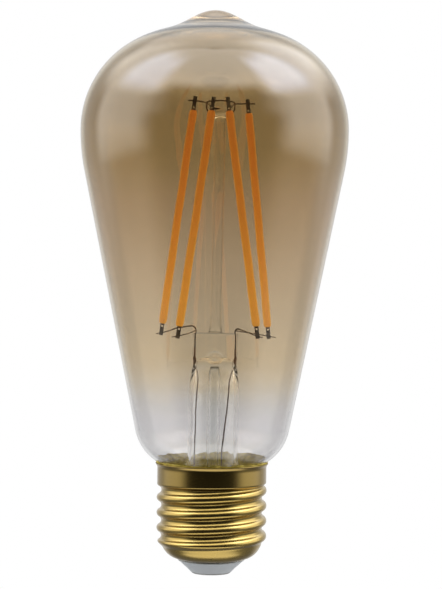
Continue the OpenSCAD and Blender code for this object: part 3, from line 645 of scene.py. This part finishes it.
def filament(i):
    """The phosphor strip: a slot-shaped section with softly tapered ends and a hand-poured unevenness."""
    foot, x, y, z, length = fil_frame(i)
    low, high = BARE_FOOT, length - BARE_HEAD
    n, rows = 40, 150
    sections, edge = [], []
    phase = rng.uniform(0, 6, 4)
    for k in range(rows + 1):
        s = low + (high - low) * (k / rows)
        from_end = min(s - low, high - s)
        taper = 0.80 + 0.20 * smooth(from_end / 0.8)
        waves = 0.018 * math.sin(s * 0.9 + phase[0]) + 0.010 * math.sin(s * 2.3 + phase[1])
        w = STRIP_W * taper * (1 + waves)
        h = STRIP_D * taper * (1 + 0.02 * math.sin(s * 0.7 + phase[2]))
        side = 0.03 * math.sin(s * 0.35 + phase[3])
        ring = []
        for m in range(n):
            a = 2 * math.pi * m / n
            c, q = math.cos(a), math.sin(a)
            lx, ly = (w - h) * math.copysign(1, c) * min(1, abs(c) * 3) + h * c + side, h * q
            ring.append(foot + x * lx + y * ly + z * s)
            edge.append(abs(lx - side) / STRIP_W)
        sections.append(np.array(ring))
    v, f = loft(sections)
    ob = add_mesh(f"filament_{i + 1}_strip", lean(v), f)
    col = ob.data.attributes.new("across", "FLOAT", "POINT")
    col.data.foreach_set("value", edge)
    mod = ob.modifiers.new("soft ends", "BEVEL")
    mod.width = 0.00012
    mod.segments = 3
    mod.limit_method = "ANGLE"
    mod.angle_limit = math.radians(50)
    finish(ob, PHOSPHOR, "phosphor", f"filament_{i + 1}_phosphor")


for i in range(4):
    filament(i)
    dress(f"filament_{i + 1}_substrate", substrate)
    dress(f"filament_{i + 1}_led_chips", led_chip)
    dress(f"filament_{i + 1}_end_tabs", tab_steel)

# ---- wires -----------------------------------------------------------------------------------------------


def weld(i, end, dx=0.0, dz=0.0):
    """The place of a wire behind a filament's foot (0) or head (1), or beside it."""
    p = FIL[i][end]
    return (p[0] + dx, p[1] + WELD_Y, p[2] + dz)


LEAD_X, DUMET_TOP = 4.65, 53.8
PRESSED_R, INNER_R, OUTER_R = 0.13, 0.19, 0.17        # wire radii: inside the press, above it and below it
routes = {
    "inner_lead_left": [(-LEAD_X, 0, DUMET_TOP), (-LEAD_X, 0, PRESS_TOP + 0.8), (-5.4, 0.6, 59.05),
                        (-9.5, 4.6, 58.3), weld(0, 0, 1.9, 0.45), weld(0, 0), weld(0, 0, -1.3, -0.3)],
    "inner_lead_right": [(LEAD_X, 0, DUMET_TOP), (LEAD_X, 0, PRESS_TOP + 0.7), (5.3, -1.1, 58.6),
                         (7.6, -7.6, 57.9), weld(2, 0, -1.3, 0.35), weld(2, 0), weld(2, 0, 1.2, -0.35)],
    "cross_arm_left": [(-4.7, -0.42, 57.9), (-5.3, -3.4, 57.7), (-6.6, -8.2, 57.2),
                       weld(1, 0, -0.2, -0.05), weld(1, 0, -1.4, -0.3)],
    "cross_arm_right": [(4.7, 0.42, 58.0), (6.4, 2.4, 57.8), (9.6, 6.2, 57.3),
                        weld(3, 0, -0.3, 0.06), weld(3, 0, 1.8, -0.25)],
    "top_wire_rear": [weld(0, 1, -1.6, -0.05), weld(0, 1), weld(0, 1, 2.4, -0.35), (-2.9, 1.3, 112.4),
                      (-2.2, 0.7, 111.2), (2.2, 0.7, 111.2), (2.9, 1.3, 112.2), weld(3, 1, -3.0, -0.1),
                      weld(3, 1), weld(3, 1, 1.7)],
    "top_wire_front": [(-1.2, -0.7, 110.5), (-2.9, -0.8, 110.1), (-3.4, -1.6, 110.9), (-3.3, -3.6, 112.2),
                       weld(1, 1, -0.9), weld(1, 1), (0, weld(1, 1)[1], 112.6), weld(2, 1), weld(2, 1, 0.9),
                       (3.3, -3.6, 112.2), (3.4, -1.6, 110.9), (2.9, -0.8, 110.1), (1.2, -0.7, 110.5)],
}
for name, route in routes.items():
    path = rounded(route, 0.6)
    v, f = sweep(path, [PRESSED_R + (INNER_R - PRESSED_R) * smooth((p[2] - PRESS_TOP) / 1.2) for p in path])
    finish(add_mesh(name + "_wire", lean(v), f), nickel_wire, "nickel_wire", name)

PAD_Z = 13.9                 # the board's top, where the outer leads go in
outer_routes = {
    "outer_lead_left": [(-LEAD_X, 0, 49.9), (-LEAD_X, 0, 49.3), (-4.15, 0, 47.9), (-4.1, 0, 44.9),
                        (-4.4, 0.1, 37.3), (-4.4, 0, 28.3), (-4.3, -0.5, 19.3), (-4.2, -0.8, PAD_Z + 0.5)],
    "outer_lead_right": [(LEAD_X, 0, 49.9), (LEAD_X, 0, 49.3), (4.1, 0, 47.9), (3.6, -0.3, 44.9),
                         (3.0, -0.8, 37.3), (2.1, -1.4, 29.3), (2.2, -2.0, 21.3), (2.6, -2.1, PAD_Z + 0.5)],
}
for name, route in outer_routes.items():
    v, f = sweep(rounded(route, 1.2), OUTER_R, 12)
    finish(add_mesh(name + "_wire", lean(v), f), copper_wire, "copper_wire", name)

# The seal wire's height and radius: a swollen joint at its foot.
SEAL_WIRE = [(49.9, 0.20), (50.05, 0.28), (50.3, 0.35), (50.8, 0.36), (51.2, 0.33), (51.45, 0.26),
             (51.7, 0.17), (52.5, 0.16), (53.3, 0.16), (DUMET_TOP, 0.15)]
for side, name in ((-1, "seal_wire_left"), (1, "seal_wire_right")):
    v, f = sweep([(side * LEAD_X, 0, z) for z, _ in SEAL_WIRE], [r for _, r in SEAL_WIRE], 20)
    finish(add_mesh(name + "_joint", lean(v), f), seal_copper, "seal_wire", name)

# ---- screw cap --------------------------------------------------------------------------------------------

CREST_R, ROOT_R, PITCH, COLLAR_R, RIM_Z, SHELL_T = 13.15, 12.05, 3.629, 13.05, 26.3, 0.3
ARC_R = (PITCH / 2) ** 2 / (4 * (CREST_R - ROOT_R)) + (CREST_R - ROOT_R) / 4      # of the thread's profile
CREST_Z0, BASE_C = 1.65, (7.4, 8.1)                    # a crest's height at angle 0, and the base's arc
BASE_R = ROOT_R - BASE_C[0]
THREAD_LOW, THREAD_HIGH, WALL_TOP = 6.1, 20.6, 21.8    # where the thread fades in and out


def shell_radius(z, a):
    """The outside of the rolled shell at a height and an angle."""
    h = z - CREST_Z0 - PITCH * a / (2 * math.pi)
    d = abs(h - PITCH * round(h / PITCH))
    if d <= PITCH / 4:
        cut = CREST_R - ARC_R + math.sqrt(ARC_R ** 2 - d * d)
    else:
        cut = ROOT_R + ARC_R - math.sqrt(ARC_R ** 2 - (PITCH / 2 - d) ** 2)
    base = ROOT_R
    if z < BASE_C[1]:
        base = BASE_C[0] + math.sqrt(max(0, BASE_R ** 2 - (BASE_C[1] - z) ** 2))
    low, high = smooth((z - THREAD_LOW) / 2.0), smooth((z - THREAD_HIGH) / 1.1)
    return (base * (1 - low) + cut * low) * (1 - high) + COLLAR_R * high


def shell_rows(t, n):
    """Rings of (r, z) from the base's hole to the collar, t inside the outer face."""
    rows = []
    for k in range(22):
        q = math.radians(-82 + 56 * k / 22)
        r, z = BASE_C[0] + (BASE_R - t) * math.cos(q), BASE_C[1] + (BASE_R - t) * math.sin(q)
        rows.append([(r, z)] * n)
    z0 = BASE_C[1] - BASE_R * math.sin(math.radians(26)) + 0.05
    for z in np.linspace(z0, WALL_TOP, 150):
        wall = t * (0.87 if z < WALL_TOP - 0.1 else 1)       # a little thinner below the collar
        rows.append([(shell_radius(z, 2 * math.pi * k / n) - wall, z) for k in range(n)])
    return rows


def cap_shell(n=288):
    """The whole shell: out along the thread, over the flared rim, and back down inside."""
    c, bore = COLLAR_R, COLLAR_R - SHELL_T
    top = [(c, z) for z in np.linspace(WALL_TOP + 0.1, 25.0, 10)]
    top += bezier((c, 25.1), (c, 25.7), (c + 0.30, 25.8), (c + 0.42, 26.12), 10)
    top += [(c + 0.44, 26.22), (c + 0.40, RIM_Z), (c + 0.30, RIM_Z)]
    top += bezier((c + 0.2, 26.25), (c, 25.8), (bore, 25.7), (bore, 25.1), 10)
    top += [(bore, z) for z in np.linspace(24.9, WALL_TOP + 0.1, 6)]
    lip = [(7.97, 3.70), (7.97, 3.60), (8.02, 3.53)]
    rows = shell_rows(0.0, n) + [[p] * n for p in top]
    rows += shell_rows(SHELL_T, n)[::-1] + [[p] * n for p in lip]
    verts = []
    for row in rows:
        for k, (r, z) in enumerate(row):
            a = 2 * math.pi * k / n
            verts.append((r * math.cos(a), r * math.sin(a), z))
    faces = []
    for i in range(len(rows)):
        above = (i + 1) % len(rows)
        for k in range(n):
            j = (k + 1) % n
            faces.append((i * n + k, i * n + j, above * n + j, above * n + k))
    return verts, faces


v, f = cap_shell()
finish(add_mesh("brass_shell", v, f), BRASS, "cap_brass", "cap_shell")

# Cement: it wets the glass, and its ragged bead is squeezed out between the rim and the bowl.
WET = 0.03
BEAD_Z, BEAD_RAGGED, BEAD_LOW, BEAD_HIGH = 26.72, 0.11, 26.35, 27.25
in_c, in_t = COLLAR_R - SHELL_T - 0.02, ROOT_R - SHELL_T - 0.06      # its radius in the collar and thread
# Waves round the bead: how many, where they start and how strong they are.
ring_noise = [(k, rng.uniform(0, 2 * math.pi), rng.uniform(0.3, 1.0) / (1 + 0.02 * k))
              for k in (2, 3, 5, 7, 11, 14, 19, 26, 33, 45)]


def bead_top(a):
    top = BEAD_Z + BEAD_RAGGED * sum(g * math.sin(k * a + p) for k, p, g in ring_noise)
    return min(BEAD_HIGH, max(BEAD_LOW, top))


def cement_outline(a):
    """The ring's section at an angle: up the neck and bowl, over the rim, and down inside the shell."""
    top = bead_top(a)
    out = [(NECK_R - WET, 18.1), (NECK_R - WET, 21.3)] + arc(fillet_c, FILLET + WET, 180, FILLET_A, 8)
    foot = out[-1][1]
    for k in range(1, 7):
        z = foot + (top - foot) * k / 6
        out.append((bowl_c[0] + math.sqrt((BOWL_R - WET) ** 2 - (bowl_c[1] - z) ** 2), z))
    tip = out[-1][0]
    out += [(tip + 0.07, top - 0.03), (13.22 + 0.45 * (tip - 13.22), 26.42 + 0.2 * (top - 26.5))]
    out += [(13.28, 26.33), (13.2, 26.32), (12.9, 25.78)]
    out += [(in_c, 25.3), (in_c, 23.3), (in_c, 22.3), (in_t, 21.2), (in_t, 18.1)]
    return out


def cement_ring(n=480):
    turns = [2 * math.pi * k / n for k in range(n)]
    v = [(r * math.cos(a), r * math.sin(a), z) for a in turns for r, z in cement_outline(a)]
    m = len(v) // n
    f = [(k * m + i, (k + 1) % n * m + i, (k + 1) % n * m + (i + 1) % m, k * m + (i + 1) % m)
         for k in range(n) for i in range(m)]
    return v, f


v, f = cement_ring()
finish(add_mesh("cement_ring", v, f), cement_mat, "cement", "cap_cement")

# The insulator: a cone outside, a hub round the contact's stem and a flange inside the shell.
cone = [(1.52, 0.35), (4.8, 0.35)] + arc((4.85, 0.63), 0.28, -90, -35, 5) + [(5.5, 0.95), (7.6, 2.85)]
cone += arc((7.72, 3.18), 0.24, -30, 60, 6) + [(7.72, 3.45), (7.7, 4.0), (9.0, 4.45), (9.9, 5.4), (9.9, 6.3)]
cone += [(7.4, 6.3), (6.8, 3.3), (2.9, 3.3), (2.9, 6.7), (1.52, 6.7)]
v, f = lathe([(cone, True)], 160)
finish(add_mesh("insulator_cone", v, f), insulator_mat, "insulator", "cap_insulator")

# The contact: a flat head with a round edge, and a stem with a blunt end.
rivet = [(0, 0), (2.0, 0.0), (4.0, 0.0)] + arc((4.45, 0.3), 0.3, -90, 0, 10)[1:]
rivet += [(4.70, 0.33), (1.5, 0.33), (1.5, 7.3), (1.4, 7.6), (1.1, 7.9), (0, 7.9)]
v, f = lathe([(rivet, False)], 128)
finish(add_mesh("contact_rivet", v, f), contact_mat, "contact", "centre_contact")

# ---- driver parts: the CAD pieces, with softened edges and their own materials -----------------------

for node, mat, bevel in [
        ("driver_board", board_mat, 0.05), ("bridge_rectifier", black_mould, 0.12),
        ("driver_chip", black_mould, 0.12), ("smoothing_capacitor", sleeve, 0.3),
        ("capacitor_bung", bung, 0.08), ("inductor_core", ferrite, 0.1),
        ("inductor_winding", enamelled(), 0.05), ("film_capacitor", film_coat, 0.4),
        ("fusible_resistor", resistor, 0.2), ("radio_module", radio_board, 0.05),
        ("radio_shield", shield, 0.12), ("chip_antenna", antenna, 0.08),
        ("small_parts", chip_parts, 0.06), ("solder_joints", solder, 0.05),
        ("live_wire", live_red, 0), ("neutral_wire", tinned, 0)]:
    dress(node, mat)
    if bevel:
        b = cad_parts[node].modifiers.new("edges", "BEVEL")
        b.width = bevel * MM
        b.segments = 2
        b.limit_method = "ANGLE"
        b.angle_limit = math.radians(40)

# ---- stage, light and camera -----------------------------------------------------------------------

AWAY, VIEW_HEIGHT = 400.0, 141.0655       # the camera's distance, and the height it takes in there
CAM_X, CAM_Z, CAM_TURN = 1.83, 66.54, math.radians(0.5)
cam = bpy.data.cameras.new("camera")
cam_ob = bpy.data.objects.new("camera", cam)
bpy.context.scene.collection.objects.link(cam_ob)
cam.sensor_width = 36.0
cam.lens = cam.sensor_width * AWAY / VIEW_HEIGHT
cam.clip_start = 0.01
cam_ob.location = (CAM_X * MM, -AWAY * MM, CAM_Z * MM)
level = Matrix.Rotation(math.radians(90), 3, "X")
cam_ob.rotation_euler = (level @ Matrix.Rotation(CAM_TURN, 3, "Z")).to_euler()
bpy.context.scene.camera = cam_ob

world = bpy.data.worlds.new("studio")
bpy.context.scene.world = world
world.use_nodes = True
wt = world.node_tree
wt.nodes.clear()


def wnode(kind, *args, **settings):
    """A world node with these inputs in order: numbers, sockets to link, or None to leave one alone."""
    n = wt.nodes.new(kind)
    for k, v in settings.items():
        setattr(n, k, v)
    for i, v in enumerate(args):
        if isinstance(v, (int, float)):
            n.inputs[i].default_value = v
        elif v is not None:
            wt.links.new(v, n.inputs[i])
    return n.outputs[0]


def wmath(op, *args):
    return wnode("ShaderNodeMath", *args, operation=op)


sky = wt.nodes.new("ShaderNodeTexCoord")
part = wt.nodes.new("ShaderNodeSeparateXYZ")
wt.links.new(sky.outputs["Generated"], part.inputs[0])
elevation = wmath("DEGREES", wmath("ARCSINE", part.outputs["Z"]))
azimuth = wmath("DEGREES", wmath("ARCTAN2", part.outputs["X"], wmath("MULTIPLY", part.outputs["Y"], -1.0)))


def inside(distance, half, soft):
    """1 within half degrees, falling smoothly to 0."""
    return wnode("ShaderNodeMapRange", distance, half - soft, half + soft, 1.0, 0.0,
                 interpolation_type="SMOOTHSTEP")


def card(light, name, strength, az, half_az, soft_az, el, half_el, soft_el):
    """Lays a soft-edged card over the light so far. Azimuth 0 is the front and 90 the right."""
    da = wmath("ABSOLUTE", wmath("WRAP", wmath("SUBTRACT", azimuth, az), 180.0, -180.0))
    de = wmath("ABSOLUTE", wmath("SUBTRACT", elevation, el))
    cover = wmath("MULTIPLY", inside(da, half_az, soft_az), inside(de, half_el, soft_el))
    over = wnode("ShaderNodeMix", cover, None, light, strength)
    over.node.label = name
    return over


# Name, brightness, azimuth with half width and softness, elevation with half height and softness.
studio = 0.75
for values in [
        ("table below", 1.5, 0, 200, 5, -72, 26, 6),
        ("right wall", 1.8, 95, 32, 14, 22, 26, 10),
        ("left wall", 1.65, -95, 32, 14, 22, 26, 10),
        ("gap behind on the right", 0.62, 135, 17, 8, -3, 27, 8),
        ("gap behind on the left", 0.55, -135, 17, 8, -5, 30, 10),
        ("low dark on the right", 0.28, 90, 42, 8, -29.5, 21, 4),
        ("low dark on the left", 0.28, -90, 42, 8, -29.5, 21, 4),
        ("ceiling behind", 1.4, 180, 75, 10, 66, 22, 6),
        ("gap behind the dome", 0.85, 180, 22, 8, 29, 13, 6),
        ("ceiling in front", 2.0, 0, 110, 10, 64, 32, 5),
        ("right reflector", 2.6, 128, 23, 10, 48, 20, 12),
        ("left reflector", 2.1, -120, 20, 10, 50, 18, 10),
        ("right softbox", 4.6, 80, 27, 12, 51, 18, 10),
        ("left softbox", 3.8, -81, 27, 12, 51, 18, 10),
        ("dark room", 0.02, 0, 58, 14, -19, 30, 7),
        ("behind and below", 0.20, 180, 75, 10, -62, 34, 8),
        ("shade right below", 0.15, 180, 84, 10, -90, 14, 5),
        ("dark room", 0.02, 0, 48, 13, 8, 32, 7)]:
    studio = card(studio, *values)
seen = wt.nodes.new("ShaderNodeLightPath").outputs["Is Camera Ray"]
bg = wt.nodes.new("ShaderNodeBackground")
cool = wt.nodes.new("ShaderNodeMix")      # the softboxes are a little cooler than the room
cool.data_type = "RGBA"
wt.links.new(wnode("ShaderNodeMapRange", studio, 2.0, 3.6, 0.0, 1.0), cool.inputs["Factor"])
cool.inputs[6].default_value = (1, 1, 1, 1)
cool.inputs[7].default_value = (0.93, 1.0, 1.2, 1)
wt.links.new(cool.outputs[2], bg.inputs["Color"])
wt.links.new(wnode("ShaderNodeMix", seen, None, studio, 1.0), bg.inputs["Strength"])
wt.links.new(bg.outputs[0], wt.nodes.new("ShaderNodeOutputWorld").inputs[0])
bpy.context.scene.view_settings.view_transform = "Standard"
cycles = bpy.context.scene.cycles
cycles.max_bounces, cycles.transmission_bounces, cycles.glossy_bounces = 24, 24, 8

FLOOR_R, FLOOR_Z, FLOOR_SIDES = 300, -60, 96
turns = [2 * math.pi * k / FLOOR_SIDES for k in range(FLOOR_SIDES)]
floor = add_mesh("floor", [(FLOOR_R * math.cos(a), FLOOR_R * math.sin(a), FLOOR_Z) for a in turns],
                 [tuple(range(FLOOR_SIDES))], False)
floor_m = Mat("floor")
floor_m.set(Roughness=0.9)
floor_m.b.inputs["Base Color"].default_value = (0.95, 0.95, 0.95, 1)
floor.data.materials.append(floor_m.m)
floor.visible_diffuse = floor.visible_glossy = floor.visible_transmission = False
